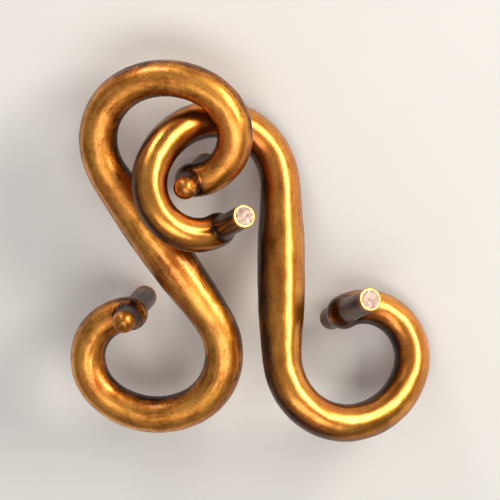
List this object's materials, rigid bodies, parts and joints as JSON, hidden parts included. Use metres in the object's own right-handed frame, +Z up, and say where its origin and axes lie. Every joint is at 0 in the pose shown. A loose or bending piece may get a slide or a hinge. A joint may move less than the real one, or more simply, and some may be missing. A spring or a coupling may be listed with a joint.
{
  "type": "twisty snake puzzle",
  "caption": "Disentanglement puzzle: matching S-shaped tapered metal snakes with cross pegs at their tips, hooked through each other.",
  "frame": {"origin": "centre of the bounding box of the linked pair, on the surface it lies on", "axes": "+Z up, away from the surface it lies on; +Y runs along the length, from the open curls towards the hooked curls; the left snake is on the -X side"},
  "size_m": [0.0558, 0.0598, 0.0225],
  "materials": {
    "antique_brass": "antiqued, satin, with dark patina in the recesses"
  },
  "bodies": {
    "left_snake": {"left_snake": "antique_brass"},
    "right_snake": {"right_snake": "antique_brass"}
  },
  "joints": [
    {"name": "snake_swing", "type": "hinge", "parent": "left_snake", "child": "right_snake", "pos_m": [-0.00823, 0.01767, 0.00835], "axis": [-0.8112, -0.1723, 0.5589], "range_deg": [0, 125]}
  ]
}
